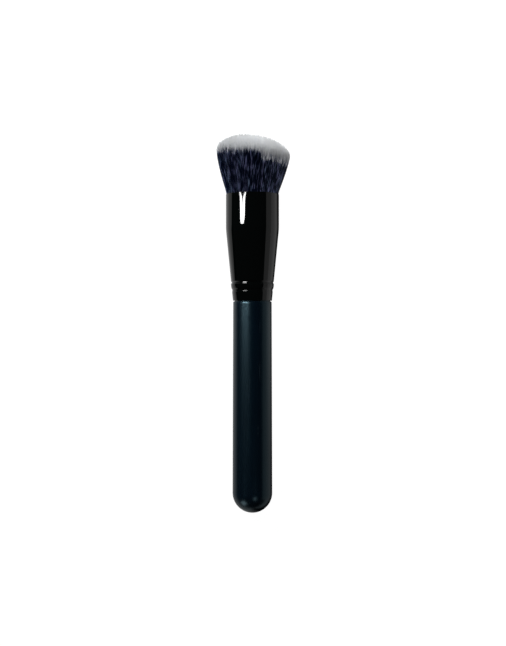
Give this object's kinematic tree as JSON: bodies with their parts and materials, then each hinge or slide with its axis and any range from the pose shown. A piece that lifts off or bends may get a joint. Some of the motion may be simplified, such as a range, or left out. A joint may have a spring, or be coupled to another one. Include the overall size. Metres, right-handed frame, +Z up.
{
  "type": "makeup brush",
  "caption": "Short face brush lying on a table: thick round lacquered handle with a domed butt, crimped gloss black ferrule, dense flared tuft of dark filaments with white ends.",
  "frame": {"origin": "centre of the bottom of the brush's box, on the table that it lies on", "axes": "+Z up from the table. +X along the brush from the butt towards the tuft. The brush's own axis rises 2.5 degrees over +X, because it lies on its round butt and on the wider tuft"},
  "size_m": [0.1552, 0.0294, 0.0289],
  "materials": {
    "handle_lacquer": "satin blue-black lacquer over turned hardwood",
    "ferrule_black": "gloss black coating on thin drawn aluminium",
    "filament": "soft synthetic filament, dark navy with off-white ends",
    "binding_thread": "waxed thread",
    "cured_epoxy": "cured amber adhesive"
  },
  "bodies": {
    "root": {"handle": "handle_lacquer", "ferrule": "ferrule_black", "filament_tuft": "filament", "root_binding": "binding_thread", "epoxy_plug": "cured_epoxy", "tenon_adhesive": "cured_epoxy"}
  },
  "joints": []
}
